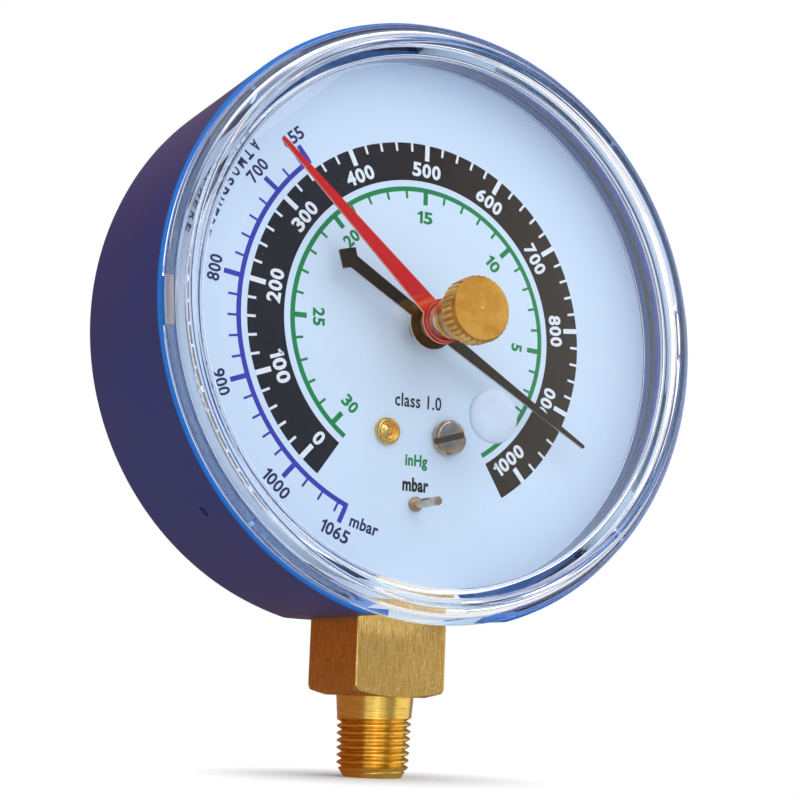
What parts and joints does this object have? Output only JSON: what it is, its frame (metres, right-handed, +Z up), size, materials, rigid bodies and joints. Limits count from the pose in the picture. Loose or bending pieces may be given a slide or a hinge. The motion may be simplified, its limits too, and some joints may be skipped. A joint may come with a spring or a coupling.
{
  "type": "vacuum gauge",
  "caption": "Round dial vacuum gauge with bottom thread, clear window, driven hand on a tube-and-gear movement, and a settable second hand with a knob.",
  "frame": {"origin": "centre of the stem's threaded end", "axes": "+Z up along the stem, -Y out of the dial towards the reader, +X to the reader's right"},
  "size_m": [0.08, 0.0376, 0.0991],
  "materials": {
    "blue_paint": "satin enamel on pressed steel",
    "black_rubber": "moulded",
    "zinc_steel": "zinc plated",
    "socket_brass": "machined, vertical grain on the flats",
    "spring_bronze": "drawn, satin",
    "movement_brass": "stamped and tumbled",
    "bright_steel": "turned, bright",
    "white_enamel": "white enamel on aluminium, printed",
    "nickel": "nickel plated",
    "rivet_brass": "bright",
    "black_paint": "satin black, bare cut edge",
    "clear_polycarbonate": "moulded, clear",
    "clear_silicone": "translucent",
    "knob_brass": "turned, knurled",
    "red_paint": "gloss red",
    "clear_nylon": "natural"
  },
  "bodies": {
    "root": {"case": "blue_paint", "gasket": "black_rubber", "case_screws": "zinc_steel", "socket": "socket_brass", "bourdon_tube": "spring_bronze", "movement_front_plate": "movement_brass", "movement_back_plate": "movement_brass", "movement_pillars": "movement_brass", "plate_screws": "zinc_steel", "movement_screws": "zinc_steel", "hairspring": "spring_bronze", "hairspring_stud": "movement_brass", "dial": "white_enamel", "dial_screw": "nickel", "dial_rivet": "rivet_brass", "stop_pin": "nickel"},
    "sector": {"sector_gear": "movement_brass", "sector_arbor": "bright_steel", "sector_pin": "bright_steel"},
    "pointer": {"pinion_arbor": "bright_steel", "hairspring_collet": "movement_brass", "pointer": "black_paint", "pointer_bush": "nickel"},
    "tube_tip": {"tube_tip": "movement_brass", "tip_pin": "bright_steel"},
    "link": {"link": "movement_brass"},
    "window": {"window": "clear_polycarbonate"},
    "set_hand": {"set_knob": "knob_brass", "set_pointer": "red_paint", "friction_washer": "clear_nylon"},
    "window_plug": {"window_plug": "clear_silicone"}
  },
  "joints": [
    {"name": "sector_turn", "type": "hinge", "parent": "root", "child": "sector", "pos_m": [0.01182, -0.0032, 0.04918], "axis": [0, 1, 0], "range_deg": [-5.69, 25.74], "stiffness_Nm_per_rad": 0.03, "deforming": ["bourdon_tube", "hairspring"]},
    {"name": "pointer_turn", "type": "hinge", "parent": "root", "child": "pointer", "pos_m": [0, -0.0032, 0.0591], "axis": [0, 1, 0], "range_deg": [-257.45, 56.95]},
    {"name": "tip_travel", "type": "hinge", "parent": "root", "child": "tube_tip", "pos_m": [-0.00449, -0.0032, 0.06464], "axis": [0, 1, 0], "range_deg": [-1.33, 5.84]},
    {"name": "link_swing", "type": "hinge", "parent": "tube_tip", "child": "link", "pos_m": [0.02092, -0.00265, 0.05652], "axis": [0, 1, 0], "range_deg": [-5.71, 1.3]},
    {"name": "window_off", "type": "slide", "parent": "root", "child": "window", "axis": [0, -1, 0], "range_m": [0, 0.03]},
    {"name": "set_hand_turn", "type": "hinge", "parent": "window", "child": "set_hand", "pos_m": [0, -0.01445, 0.0591], "axis": [0, 1, 0], "range_deg": [-125.9, 226.1]},
    {"name": "plug_out", "type": "slide", "parent": "window", "child": "window_plug", "axis": [0, -1, 0], "range_m": [0, 0.006]}
  ],
  "couplings": [
    {"joint": "pointer_turn", "follows": "sector_turn", "ratio": -10},
    {"joint": "tip_travel", "follows": "sector_turn", "ratio": 0.22493},
    {"joint": "link_swing", "follows": "sector_turn", "ratio": -0.21984}
  ]
}
